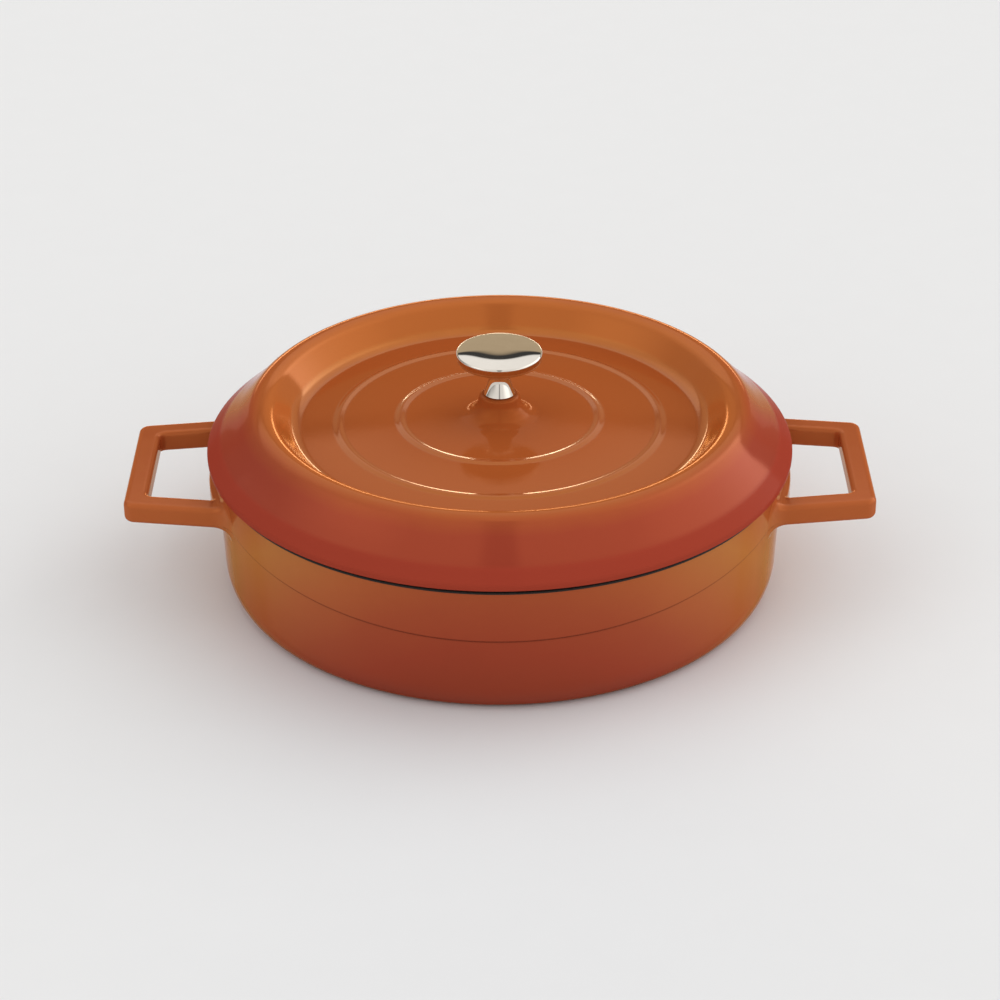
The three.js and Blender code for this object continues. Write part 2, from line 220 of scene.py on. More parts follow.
def offset_line(points, distance):
    points = [np.array(p, float) for p in points]
    sides = []
    for a, b in zip(points, points[1:]):
        along = (b - a) / np.linalg.norm(b - a)
        shift = np.array((along[1], -along[0])) * distance
        sides.append((a + shift, b + shift, along))
    moved = [sides[0][0]]
    for (start, _, along), (other, _, direction) in zip(sides, sides[1:]):
        gap = other - start
        cross = along[0] * direction[1] - along[1] * direction[0]
        moved.append(start + along * (gap[0] * direction[1] - gap[1] * direction[0]) / cross)
    return [tuple(p) for p in moved + [sides[-1][1]]]


def dense(points, longest):
    """Adds points on long straight stretches."""
    result = [points[0]]
    for a, b in zip(points, points[1:]):
        count = max(1, math.ceil(math.dist(a, b) / longest))
        result += [(a[0] + (b[0] - a[0]) * i / count, a[1] + (b[1] - a[1]) * i / count)
                   for i in range(1, count + 1)]
    return result


# Meshes

def new_object(name, vertices, faces, face_slots, materials, body, node, slot):
    mesh = bpy.data.meshes.new(name)
    mesh.from_pydata([tuple(v) for v in np.asarray(vertices, float) * MM], [], faces)
    for material in materials:
        mesh.materials.append(material)
    mesh.polygons.foreach_set("material_index", face_slots)
    work = bmesh.new()
    work.from_mesh(mesh)
    bmesh.ops.remove_doubles(work, verts=work.verts, dist=1e-7)
    bmesh.ops.dissolve_degenerate(work, edges=work.edges, dist=1e-8)
    work.to_mesh(mesh)
    work.free()
    mesh.shade_smooth()
    mesh.set_sharp_from_angle(angle=SHARP_ANGLE)
    obj = bpy.data.objects.new(name, mesh)
    bpy.context.scene.collection.objects.link(obj)
    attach(obj, body)
    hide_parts(node)
    return obj


def grid_faces(rows, columns, row_slots):
    """Quads of a grid of points, rows by columns; the columns run round and close."""
    faces, slots = [], []
    for i in range(rows - 1):
        for j in range(columns):
            k = (j + 1) % columns
            a, b = i * columns, (i + 1) * columns
            faces.append((a + j, a + k, b + k, b + j))
            slots.append(row_slots[i])
    return faces, slots


def turned(points, columns, row_slots=None, bend=None):
    """A profile turned about Z. `bend` may move the points of the grid before they are placed."""
    profile = np.array(points, float)
    angles = np.arange(columns) * 2 * math.pi / columns
    radius = np.repeat(profile[:, :1], columns, axis=1)
    height = np.repeat(profile[:, 1:], columns, axis=1)
    if bend:
        radius, height = bend(radius, height, angles[None, :])
    vertices = np.stack([radius * np.cos(angles), radius * np.sin(angles), height], axis=2).reshape(-1, 3)
    slots = row_slots or [0] * (len(points) - 1)
    faces, face_slots = grid_faces(len(points), columns, slots)
    return vertices, faces, face_slots


def lofted(rings):
    """A closed skin over rings of equally many points, with a fan at each end."""
    count = len(rings[0])
    vertices = [p for ring in rings for p in ring] + [np.mean(rings[0], axis=0), np.mean(rings[-1], axis=0)]
    faces, _ = grid_faces(len(rings), count, [0] * len(rings))
    last = (len(rings) - 1) * count
    cap = len(rings) * count
    for i in range(count):
        k = (i + 1) % count
        faces.append((cap, k, i))
        faces.append((cap + 1, last + i, last + k))
    return vertices, faces, [0] * len(faces)


# Nodes

NOISE_SPAN = (0.3, 0.7)
UNIT = (0.0, 1.0)


def grey(level):
    return (level, level, level)


def node_material(name):
    material = bpy.data.materials.new(name)
    material.use_nodes = True
    nodes = material.node_tree.nodes
    return material, nodes, material.node_tree.links, nodes["Principled BSDF"]


def object_place(nodes):
    return nodes.new("ShaderNodeTexCoord").outputs["Object"]


def noise(nodes, links, vector, scale, detail=3.0, rough=0.5):
    node = nodes.new("ShaderNodeTexNoise")
    node.inputs["Scale"].default_value = scale
    node.inputs["Detail"].default_value = detail
    node.inputs["Roughness"].default_value = rough
    links.new(vector, node.inputs["Vector"])
    return node.outputs["Fac"]


def mapped(nodes, links, value, span, to):
    node = nodes.new("ShaderNodeMapRange")
    for socket, number in zip(("From Min", "From Max", "To Min", "To Max"), (*span, *to)):
        node.inputs[socket].default_value = number
    links.new(value, node.inputs["Value"])
    return node.outputs["Result"]


def math_node(nodes, links, operation, *values):
    node = nodes.new("ShaderNodeMath")
    node.operation = operation
    for socket, value in zip(node.inputs, values):
        if isinstance(value, (int, float)):
            socket.default_value = value
        else:
            links.new(value, socket)
    return node.outputs["Value"]


def vector_node(nodes, links, operation, vector, other=None):
    node = nodes.new("ShaderNodeVectorMath")
    node.operation = operation
    links.new(vector, node.inputs[0])
    if other is not None:
        node.inputs[1].default_value = other
    return node


def ramp(nodes, links, value, stops):
    node = nodes.new("ShaderNodeValToRGB")
    elements = node.color_ramp.elements
    while len(elements) < len(stops):
        elements.new(0.5)
    for element, (place, colour) in zip(elements, stops):
        element.position = place
        element.color = (*colour, 1.0)
    links.new(value, node.inputs["Fac"])
    return node.outputs["Color"]


def bump(nodes, links, shader, height, strength, distance):
    node = nodes.new("ShaderNodeBump")
    node.inputs["Strength"].default_value = strength
    node.inputs["Distance"].default_value = distance
    links.new(height, node.inputs["Height"])
    links.new(node.outputs["Normal"], shader.inputs["Normal"])


# Materials: colours are linear, noise scales are per metre, spans are in metres.

POT_TONES = [
    (0.12, (0.288, 0.042, 0.022)),
    (0.22, (0.315, 0.045, 0.023)),
    (0.37, (0.350, 0.062, 0.026)),
    (0.55, (0.410, 0.098, 0.030)),
    (0.80, (0.455, 0.156, 0.036)),
    (1.00, (0.425, 0.100, 0.030)),
]
POT_WARMTH_BY_HEIGHT = 0.35
POT_WARMTH_BY_SQUARE_X = 2.0
POT_WARMTH_SPAN = (0.0, 0.060)
# The belt line: a darker band along the belt's step that fades out before the handles; it is partly thinner
# enamel at the step's edge and partly painted shade under the step.
BELT_LINE_SPAN = (0.0003, 0.0009)
BELT_LINE_END = (0.0172, 0.0190)
BELT_LINE_THIN_ENAMEL_AND_PAINTED_SHADE = (0.5, 0.4, 0.4, 1.0)

LID_TONES = [
    (0.05, (0.390, 0.091, 0.021)),
    (0.14, (0.490, 0.134, 0.031)),
    (0.34, (0.480, 0.128, 0.030)),
    (0.44, (0.405, 0.098, 0.024)),
    (0.54, (0.385, 0.072, 0.027)),
    (0.64, (0.350, 0.050, 0.026)),
    (0.82, (0.340, 0.047, 0.025)),
    (0.90, (0.325, 0.044, 0.024)),
]
LID_TONE_SPAN = (0.100, 0.150)
LID_EDGE_SPAN, LID_EDGE_SHARE = (0.1415, 0.1435), (1.0, 0.1)
LID_MIDDLE_SPAN, LID_MIDDLE_SHARE = (0.055, 0.085), (0.4, 1.0)
RING_GLAZE_SPAN, RING_GLAZE = (0.0022, 0.0034), (0.5, 0.0)

SPRAY_SCALE = 24.0
SPRAY_DRIFT = (-0.05, 0.05)
PATCH_SCALE = 60.0
PEEL_SCALE = 420.0
ENAMEL_ROUGHNESS = (0.08, 0.12)
ENAMEL_TINT = (1.0, 0.72, 0.22, 1.0)
SHEEN = [(0.70, grey(0.18)), (0.78, grey(0.40)), (0.86, grey(0.40)), (0.93, grey(0.0))]
GLAZE_FACING, GLAZE = (0.35, 0.60), (0.28, 0.02)


def gloss(nodes, links, shader, share=1.0, pooled=0.0):
    """Deep glossy enamel: warm reflections, a faint orange peel, patches of finer polish, less sheen edge-on.

    `share` weakens the reflections, and `pooled` is glaze that lies thicker.
    """
    place = object_place(nodes)
    patches = noise(nodes, links, place, PATCH_SCALE)
    links.new(mapped(nodes, links, patches, NOISE_SPAN, ENAMEL_ROUGHNESS), shader.inputs["Roughness"])
    facing = nodes.new("ShaderNodeLayerWeight").outputs["Facing"]
    sheen = ramp(nodes, links, facing, SHEEN)
    links.new(math_node(nodes, links, "MULTIPLY", sheen, share), shader.inputs["Metallic"])
    glaze = mapped(nodes, links, facing, GLAZE_FACING, GLAZE)
    glaze = math_node(nodes, links, "MULTIPLY", glaze, share)
    links.new(math_node(nodes, links, "ADD", glaze, pooled), shader.inputs["Specular IOR Level"])
    shader.inputs["Specular Tint"].default_value = ENAMEL_TINT
    peel = noise(nodes, links, place, PEEL_SCALE, detail=2.0)
    bump(nodes, links, shader, peel, strength=0.03, distance=0.0004)


def sprayed(nodes, links, value, span, tones):
    """Colour that fades from one tone to the next along a value, a little unevenly."""
    spray = noise(nodes, links, object_place(nodes), SPRAY_SCALE, detail=4.0, rough=0.6)
    drift = mapped(nodes, links, spray, UNIT, SPRAY_DRIFT)
    share = math_node(nodes, links, "ADD", mapped(nodes, links, value, span, UNIT), drift)
    return ramp(nodes, links, share, tones)


def pot_enamel():
    """Orange at the rim and about the handles, red below, with a darker line under the belt's edge: partly
    thinner enamel there, partly painted shade under the step.
    """
    material, nodes, links, shader = node_material("pot_enamel")
    split = nodes.new("ShaderNodeSeparateXYZ")
    links.new(object_place(nodes), split.inputs["Vector"])
    x, z = split.outputs["X"], split.outputs["Z"]
    square = math_node(nodes, links, "MULTIPLY", x, x)
    sideways = math_node(nodes, links, "MULTIPLY", square, POT_WARMTH_BY_SQUARE_X)
    warmth = math_node(nodes, links, "MULTIPLY_ADD", z, POT_WARMTH_BY_HEIGHT, sideways)
    colour = sprayed(nodes, links, warmth, POT_WARMTH_SPAN, POT_TONES)
    # The darker line along the belt: partly thinner enamel, partly painted shade under the step.
    line = math_node(nodes, links, "MULTIPLY_ADD", square, 1 / (2 * BELT_SWEEP * MM), BELT_HEIGHT * MM)
    off = math_node(nodes, links, "ABSOLUTE", math_node(nodes, links, "SUBTRACT", z, line))
    near = mapped(nodes, links, off, BELT_LINE_SPAN, (1.0, 0.0))
    clear = mapped(nodes, links, square, BELT_LINE_END, (1.0, 0.0))
    thin_enamel_and_painted_shade = nodes.new("ShaderNodeMix")
    thin_enamel_and_painted_shade.data_type = "RGBA"
    thin_enamel_and_painted_shade.blend_type = "MULTIPLY"
    links.new(math_node(nodes, links, "MULTIPLY", near, clear), thin_enamel_and_painted_shade.inputs["Factor"])
    links.new(colour, thin_enamel_and_painted_shade.inputs["A"])
    thin_enamel_and_painted_shade.inputs["B"].default_value = BELT_LINE_THIN_ENAMEL_AND_PAINTED_SHADE
    links.new(thin_enamel_and_painted_shade.outputs["Result"], shader.inputs["Base Color"])
    gloss(nodes, links, shader)
    return material


def lid_enamel():
    """Orange on top, red down the skirt, with thicker glaze along the rings and the ridge's foot."""
    material, nodes, links, shader = node_material("lid_enamel")
    flat = vector_node(nodes, links, "MULTIPLY", object_place(nodes), (1.0, 1.0, 0.0))
    radius = vector_node(nodes, links, "LENGTH", flat.outputs["Vector"]).outputs["Value"]
    links.new(sprayed(nodes, links, radius, LID_TONE_SPAN, LID_TONES), shader.inputs["Base Color"])
    edge = mapped(nodes, links, radius, LID_EDGE_SPAN, LID_EDGE_SHARE)
    middle = mapped(nodes, links, radius, LID_MIDDLE_SPAN, LID_MIDDLE_SHARE)
    pooled = 0.0
    for ring in (*RINGS, RIDGE_FOOT):
        off = math_node(nodes, links, "ABSOLUTE", math_node(nodes, links, "SUBTRACT", radius, ring * MM))
        near = mapped(nodes, links, off, RING_GLAZE_SPAN, RING_GLAZE)
        pooled = math_node(nodes, links, "MAXIMUM", near, pooled)
    gloss(nodes, links, shader, math_node(nodes, links, "MULTIPLY", edge, middle), pooled)
    return material


def black_enamel():
    material, nodes, links, shader = node_material("matte_black_enamel")
    speckle = noise(nodes, links, object_place(nodes), 900.0, detail=2.0)
    colour = ramp(nodes, links, speckle, [(0.35, (0.014, 0.010, 0.008)), (0.7, (0.028, 0.022, 0.018))])
    links.new(colour, shader.inputs["Base Color"])
    links.new(mapped(nodes, links, speckle, NOISE_SPAN, (0.42, 0.6)), shader.inputs["Roughness"])
    shader.inputs["Specular IOR Level"].default_value = 0.2
    bump(nodes, links, shader, speckle, strength=0.15, distance=0.0003)
    return material


def polished_steel():
    material, nodes, links, shader = node_material("polished_steel")
    smudge = noise(nodes, links, object_place(nodes), 140.0, detail=4.0, rough=0.6)
    colour = ramp(nodes, links, smudge, [(0.3, (0.70, 0.65, 0.58)), (0.7, (0.74, 0.69, 0.62))])
    links.new(colour, shader.inputs["Base Color"])
    links.new(mapped(nodes, links, smudge, NOISE_SPAN, (0.01, 0.03)), shader.inputs["Roughness"])
    shader.inputs["Metallic"].default_value = 1.0
    return material


def plain_steel():
    material, nodes, links, shader = node_material("plain_steel")
    grain = noise(nodes, links, object_place(nodes), 1500.0)
    colour = ramp(nodes, links, grain, [(0.3, (0.36, 0.36, 0.37)), (0.7, (0.48, 0.48, 0.48))])
    links.new(colour, shader.inputs["Base Color"])
    links.new(mapped(nodes, links, grain, NOISE_SPAN, (0.28, 0.42)), shader.inputs["Roughness"])
    shader.inputs["Metallic"].default_value = 1.0
    bump(nodes, links, shader, grain, strength=0.08, distance=0.0001)
    return material


def gasket_fibre():
    material, nodes, links, shader = node_material("gasket_fibre")
    grain = noise(nodes, links, object_place(nodes), 1800.0)
    colour = ramp(nodes, links, grain, [(0.3, (0.025, 0.022, 0.02)), (0.7, (0.05, 0.045, 0.04))])
    links.new(colour, shader.inputs["Base Color"])
    shader.inputs["Roughness"].default_value = 0.75
    bump(nodes, links, shader, grain, strength=0.2, distance=0.0001)
    return material


pot_colour = pot_enamel()
lid_colour = lid_enamel()
black = black_enamel()
steel = polished_steel()
plain = plain_steel()
fibre = gasket_fibre()


# Pot with its handles

def belt_radius(z):
    return RIM_OUTER - DRAFT * (POT_HEIGHT - z)


def belt_line(x):
    return BELT_HEIGHT + x * x / (2 * BELT_SWEEP)


def smooth(t):
    t = np.clip(t, 0.0, 1.0)
    return t * t * (3 - 2 * t)


def wall_radius(z, line):
    return belt_radius(z) - BELT_STEP * (1 - smooth((z - line) / BELT_EDGE + 0.5))


def pot_shell():
    flat = wall_radius(CORNER_HEIGHT, BELT_HEIGHT) - CORNER_WIDTH
    corner = [(flat + CORNER_WIDTH * x, CORNER_HEIGHT * (1 + z)) for x, z in arc((0, 0), 1, -90, 0)]
    wall_low, wall_high = CORNER_HEIGHT, POT_HEIGHT - RIM_BAND
    edge_low, edge_high = BELT_HEIGHT - BELT_EDGE, BELT_HEIGHT + BELT_EDGE
    low = list(np.linspace(wall_low, edge_low, WALL_ROWS))[1:]
    edge = list(np.linspace(edge_low, edge_high, BELT_EDGE_ROWS))[1:]
    high = list(np.linspace(edge_high, wall_high, WALL_ROWS))[1:]
    wall = [(wall_radius(z, BELT_HEIGHT), z) for z in low + edge + high]
    rim = rounded_line(
        wall[-1],
        (RIM_OUTER, POT_HEIGHT, RIM_ROUNDING),
        (POT_INNER, POT_HEIGHT, RIM_ROUNDING),
        (POT_INNER - DRAFT * (POT_HEIGHT - BASE), BASE, INSIDE_FILLET),
        (0.0, BASE),
    )[1:]
    outside = dense([(0.0, 0.0), corner[0]], BASE_STEP) + corner[1:] + wall
    inside = dense([wall[-1], *rim], BASE_STEP)[1:]
    slots = [0] * len(outside) + [1] * (len(inside) - 1)

    def sweep(radius, height, angles):
        """Bends the belt's edge upward to the sides."""
        on_wall = np.zeros(len(radius), bool)
        on_wall[len(outside) - len(wall):len(outside)] = True
        x = radius * np.cos(angles)
        below = (height - wall_low) / (edge_low - wall_low)
        above = (wall_high - height) / (wall_high - edge_high)
        share = np.clip(np.minimum(below, above), 0.0, 1.0)
        line = belt_line(x)
        moved = height + share * (line - BELT_HEIGHT)
        height = np.where(on_wall[:, None], moved, height)
        radius = np.where(on_wall[:, None], wall_radius(moved, line), radius)
        return radius, height

    return turned(outside + inside, POT_COLUMNS, slots, sweep)


def rounded_both(a, b, radius):
    """The distance from the space inside two others, with the edge between them rounded."""
    a, b = a + radius, b + radius
    return np.hypot(np.maximum(a, 0.0), np.maximum(b, 0.0)) + np.minimum(np.maximum(a, b), 0.0) - radius


def from_wall(p):
    x, y, z = p[..., 0], p[..., 1], p[..., 2]
    return np.hypot(x, y) - wall_radius(z, belt_line(x))


def from_handle(p):
    """The distance from a wall with the right handle growing out of it."""
    x, y, z = p[..., 0], p[..., 1], p[..., 2]
    side = np.abs(y) - HANDLE_HALF_WIDTH - math.tan(HANDLE_SPLAY) * (HANDLE_OUTER_X - x)
    side = side * math.cos(HANDLE_SPLAY)
    outline = rounded_both(x - HANDLE_OUTER_X, side, HANDLE_CORNER)
    ends = np.maximum(x - HANDLE_OUTER_X + HANDLE_BAR, WEB_RADIUS - np.hypot(x, y))
    hole = -rounded_both(ends, side + HANDLE_BAR, HANDLE_EDGE)
    flat = np.abs(z - HANDLE_MIDDLE) - HANDLE_THICKNESS / 2
    loop = rounded_both(np.maximum(outline, hole), flat, HANDLE_EDGE)
    wall = from_wall(p)
    blend = BLEND_INSIDE + (BLEND_OUTSIDE - BLEND_INSIDE) * smooth(side / HANDLE_BAR + 1.0)
    lap = np.maximum(blend - np.abs(wall - loop), 0.0) / blend
    return np.minimum(wall, loop) - lap * lap * blend / 4


def slope(field, p, reach=0.02):
    return np.stack([(field(p + d) - field(p - d)) / (2 * reach) for d in np.eye(3) * reach], axis=-1)


def skin(field, low, high, step, settle=5):
    """A mesh of quads over the surface where a distance field is zero: one point per cell it passes."""
    axes = [np.arange(a, b + step, step) for a, b in zip(low, high)]
    grid = np.stack(np.meshgrid(*axes, indexing="ij"), axis=-1)
    value = field(grid)
    inside = value < 0
    limit = np.array(inside.shape) - 1
    cells = tuple(limit)
    total, count, quads = np.zeros((*cells, 3)), np.zeros(cells), []
    for axis in range(3):
        u, v = (axis + 1) % 3, (axis + 2) % 3
        start = np.argwhere(np.diff(inside.astype(int), axis=axis) != 0)
        for across in (u, v):
            start = start[(start[:, across] > 0) & (start[:, across] < limit[across])]
        end = start.copy()
        end[:, axis] += 1
        at_start, at_end = value[tuple(start.T)], value[tuple(end.T)]
        share = (at_start / (at_start - at_end))[:, None]
        crossing = grid[tuple(start.T)] * (1 - share) + grid[tuple(end.T)] * share
        corners = []
        for du, dv in ((1, 1), (0, 1), (0, 0), (1, 0)):
            cell = start.copy()
            cell[:, u] -= du
            cell[:, v] -= dv
            np.add.at(total, tuple(cell.T), crossing)
            np.add.at(count, tuple(cell.T), 1)
            corners.append(np.ravel_multi_index(tuple(cell.T), cells))
        quad = np.stack(corners, axis=1)
        quads.append(np.where(inside[tuple(start.T)][:, None], quad, quad[:, ::-1]))
    used, index = np.unique(np.concatenate(quads), return_inverse=True)
    points = total.reshape(-1, 3)[used] / count.reshape(-1)[used][:, None]
    for _ in range(settle):
        g = slope(field, points)
        points = points - g * (field(points) / (g * g).sum(axis=-1))[:, None]
    return points, index.reshape(-1, 4)


def handle_skin():
    """The part of the handle's skin that stands clear of the wall, with the surface's directions."""
    low = (118.0, -66.0, HANDLE_MIDDLE - 20.0)
    high = (HANDLE_OUTER_X + 2.0, 66.0, POT_HEIGHT - 1.5)
    least_clear, sunk = 0.03, 0.3
    points, quads = skin(from_handle, low, high, HANDLE_STEP)
    clear = from_wall(points)
    quads = quads[(clear[quads] > least_clear).any(axis=1)]
    used, index = np.unique(quads, return_inverse=True)
    points, clear = points[used], clear[used]
    normals = slope(from_handle, points)
    normals = normals / np.linalg.norm(normals, axis=1)[:, None]
    points = points - normals * np.where(clear > least_clear, 0.0, sunk)[:, None]
    return points, normals, index.reshape(-1, 4)


def make_pot():
    pot = new_object("pot_casting", *pot_shell(), [pot_colour, black], "pot", "pot_body", "pot_enamel")
    shell = pot.data
    vertices = [np.array([v.co for v in shell.vertices])]
    normals = [np.array([n.vector for n in shell.vertex_normals])]
    faces = [tuple(p.vertices) for p in shell.polygons]
    slots = [p.material_index for p in shell.polygons]
    points, directions, quads = handle_skin()
    first = len(shell.vertices)
    for turn in (np.array((1, 1, 1)), np.array((-1, -1, 1))):
        vertices.append(points * turn * MM)
        normals.append(directions * turn)
        faces += [tuple(int(i) for i in q + first) for q in quads]
        slots += [0] * len(quads)
        first += len(points)
    mesh = bpy.data.meshes.new("pot_casting")
    mesh.from_pydata([tuple(v) for v in np.concatenate(vertices)], [], faces)
    for material in shell.materials:
        mesh.materials.append(material)
    mesh.polygons.foreach_set("material_index", slots)
    mesh.shade_smooth()
    mesh.normals_split_custom_set_from_vertices([tuple(n) for n in np.concatenate(normals)])
    pot.data = mesh
    bpy.data.meshes.remove(shell)


# Lid

def floor_height(r):
    return FLOOR_CROWN - r * r / FLOOR_SAG


def floor_point(r):
    rise = sum(RING_HEIGHT * (1 + math.cos(2 * math.pi * (r - middle) / RING_WIDTH)) / 2
               for middle in RINGS if abs(r - middle) < RING_WIDTH / 2)
    return r, floor_height(r) + rise


def make_lid():
    seat_outer, seat_z = RIM_OUTER - GAP, POT_HEIGHT + GAP
    foot = (RIDGE_FOOT, floor_height(RIDGE_FOOT))
    floor_edge = floor_point(RIDGE_FOOT - FOOT_ROUNDING)
    skirt = rounded_line(
        (seat_outer, LID_EDGE_Z),
        (LID_RADIUS, LID_EDGE_Z, LID_EDGE_ROUNDING),
        (*LID_SHOULDER, SHOULDER_ROUNDING),
        (*LID_BEND, BEND_ROUNDING),
        (*LID_APEX, APEX_ROUNDING),
        (*foot, FOOT_ROUNDING),
        floor_edge,
    )
    floor_start = BOSS_FOOT_RADIUS + BOSS_FILLET_REACH
    floor = [floor_point(r) for r in np.linspace(floor_edge[0], floor_start, LID_FLOOR_ROWS)[1:-1]]
    boss = rounded_line(
        floor_point(floor_start),
        (BOSS_FOOT_RADIUS, floor_height(BOSS_FOOT_RADIUS), BOSS_FILLET),
        (BOSS_TOP_RADIUS, BOSS_TOP, BOSS_ROUNDING),
        (HOLE, BOSS_TOP),
    )
    rib_outer = POT_INNER - DRAFT * RIB_DEPTH - RIB_CLEARANCE
    rib_inner = rib_outer - RIB_WIDTH
    rib_z = POT_HEIGHT - RIB_DEPTH
    under = offset_line([floor_edge, foot, LID_APEX, LID_BEND, LID_SHOULDER], LID_THICKNESS)
    t = (rib_inner - under[2][0]) / (under[3][0] - under[2][0])
    rib_top = (rib_inner, under[2][1] + t * (under[3][1] - under[2][1]))
    underside = dense(rounded_line(
        (HOLE, BOSS_CEILING),
        (BOSS_BORE, BOSS_CEILING),
        (BOSS_BORE, floor_height(BOSS_BORE) - LID_THICKNESS, BOSS_ROUNDING),
        (*under[0], CEILING_ROUNDING),
        (*under[1], FOOT_ROUNDING + LID_THICKNESS),
        (*under[2], APEX_ROUNDING - LID_THICKNESS),
        (*rib_top, RIB_ROOT),
        (rib_inner, rib_z, RIB_ROUNDING),
        (rib_outer, rib_z, RIB_ROUNDING),
        (rib_outer, seat_z, SEAT_FILLET),
        (seat_outer, seat_z, SEAT_ROUNDING),
        (seat_outer, LID_EDGE_Z),
    ), UNDERSIDE_STEP)
    top = dense(skirt, SKIRT_STEP)[1:] + floor + boss
    points = underside + top + [underside[0]]
    slots = [1] * len(underside) + [0] * (len(top) - 1) + [1]
    vertices, faces, face_slots = turned(points, LID_COLUMNS, slots)
    new_object("lid_casting", vertices, faces, face_slots, [lid_colour, black], "lid", "lid", "lid_enamel")


# Knob and its fastening

def make_knob():
    recess = HOLE + GASKET_WIDTH + GAP
    recess_z = KNOB_FOOT + GASKET_THICKNESS + GAP
    waist_z = KNOB_FOOT + KNOB_WAIST_HEIGHT
    flare = recess + KNOB_FOOT_LIP - KNOB_WAIST
    trumpet = [(KNOB_WAIST + flare * s ** KNOB_FLARE_POWER, waist_z - KNOB_WAIST_HEIGHT * s)
               for s in np.linspace(1, 0, KNOB_FLARE_ROWS)]
    neck = arc((KNOB_WAIST + KNOB_NECK, waist_z + KNOB_WAIST_LENGTH), KNOB_NECK, 180, 90 + KNOB_UNDER_SLOPE)
    tilt = math.radians(KNOB_EDGE_TILT)
    edge = KNOB_RADIUS - KNOB_BROW * (1 - math.sin(tilt))
    fall = edge * math.tan(tilt) / 4
    crown = [(r, KNOB_TOP - fall * (r / edge) ** 4) for r in np.linspace(edge, 0, KNOB_CROWN_ROWS)[1:]]
    brow_z = KNOB_TOP - fall - KNOB_BROW * math.cos(tilt)
    brow = arc((KNOB_RADIUS - KNOB_BROW, brow_z), KNOB_BROW, 0, 90 - KNOB_EDGE_TILT)
    low_z = brow_z - KNOB_SIDE
    side = [(KNOB_RADIUS, z) for z in np.linspace(low_z, brow_z, 5)[1:-1]]
    low = arc((KNOB_RADIUS - KNOB_RIM, low_z), KNOB_RIM, KNOB_UNDER_SLOPE - 90, 0)
    foot = rounded_line(
        (recess, KNOB_FOOT + 2 * KNOB_FOOT_ROUNDING),
        (recess, KNOB_FOOT, KNOB_FOOT_ROUNDING),
        (trumpet[0][0], KNOB_FOOT, KNOB_FOOT_ROUNDING),
        trumpet[1],
    )
    points = [
        (0.0, KNOB_FOOT + THREAD_DEPTH),
        (HOLE, KNOB_FOOT + THREAD_DEPTH),
        (HOLE, recess_z),
        (recess, recess_z),
        *foot,
        *trumpet[2:],
        *dense(neck + low + side + brow, KNOB_STEP),
        *crown,
    ]
    vertices, faces, slots = turned(points, KNOB_COLUMNS)
    new_object("knob_turned", vertices, faces, slots, [steel], "lid", "knob", "polished_steel")


def make_ring(name, width, low, high, edge, material, node, slot):
    section = rounded_section(HOLE, HOLE + width, low, high, edge)
    vertices, faces, slots = turned(section, RING_COLUMNS)
    new_object(name, vertices, faces, slots, [material], "lid", node, slot)


def make_spring_washer(high):
    section = rounded_section(HOLE, HOLE + SPRING_WASHER_WIDTH, high - WASHER_THICKNESS, high,
                              SPRING_WASHER_EDGE)[:-1]
    slit = SPRING_WASHER_SLIT / 2 / HOLE
    rings = []
    for a in np.linspace(slit, 2 * math.pi - slit, SPRING_WASHER_COLUMNS):
        rings.append([np.array((r * math.cos(a), r * math.sin(a), z)) for r, z in section])
    vertices, faces, slots = lofted(rings)
    new_object("washer_spring", vertices, faces, slots, [plain], "lid", "spring_washer", "plain_steel")


def cut_slot(screw, head_low):
    cutter = bpy.data.meshes.new("slot_cutter")
    work = bmesh.new()
    bmesh.ops.create_cube(work, size=1.0)
    bmesh.ops.scale(work, vec=[size * MM for size in SCREW_SLOT], verts=work.verts)
    bmesh.ops.translate(work, vec=(0.0, 0.0, head_low * MM), verts=work.verts)
    work.to_mesh(cutter)
    work.free()
    tool = bpy.data.objects.new("slot_cutter", cutter)
    bpy.context.scene.collection.objects.link(tool)
    cut = screw.modifiers.new("slot", "BOOLEAN")
    cut.operation = "DIFFERENCE"
    cut.object = tool
    cut.solver = "EXACT"
    depsgraph = bpy.context.evaluated_depsgraph_get()
    mesh = bpy.data.meshes.new_from_object(screw.evaluated_get(depsgraph))
    screw.modifiers.clear()
    screw.data = mesh
    mesh.set_sharp_from_angle(angle=SHARP_ANGLE)
    bpy.data.objects.remove(tool)


def make_screw(head_high):
    head_low = head_high - SCREW_HEAD_HEIGHT
    tip = KNOB_FOOT + THREAD_DEPTH - SCREW_TIP_GAP
    head = rounded_line(
        (0.0, head_low),
        (SCREW_HEAD_RADIUS, head_low, SCREW_HEAD_ROUNDING),
        (SCREW_HEAD_RADIUS, head_high, SCREW_HEAD_EDGE),
        (SCREW_RADIUS, head_high),
    )
    start, end = head_high + SCREW_RUNOUT[0], tip - SCREW_RUNOUT[1]
    thread = [(SCREW_RADIUS, z) for z in np.arange(start, end, SCREW_PITCH / THREAD_ROWS)]
    points = head + thread + [(SCREW_POINT_RADIUS, tip), (0.0, tip)]
    first, last = len(head), len(head) + len(thread)

    def helix(radius, height, angles):
        wave = 2 * math.pi * height / SCREW_PITCH - angles
        radius[first:last] = SCREW_RADIUS - SCREW_RIDGE * (1 - np.cos(wave[first:last]))
        return radius, height

    vertices, faces, slots = turned(points, SCREW_COLUMNS, None, helix)
    screw = new_object("screw_slotted", vertices, faces, slots, [plain], "lid", "knob_screw", "plain_steel")
    cut_slot(screw, head_low)


flat_washer_high = BOSS_CEILING - GAP
spring_washer_high = flat_washer_high - WASHER_THICKNESS - GAP

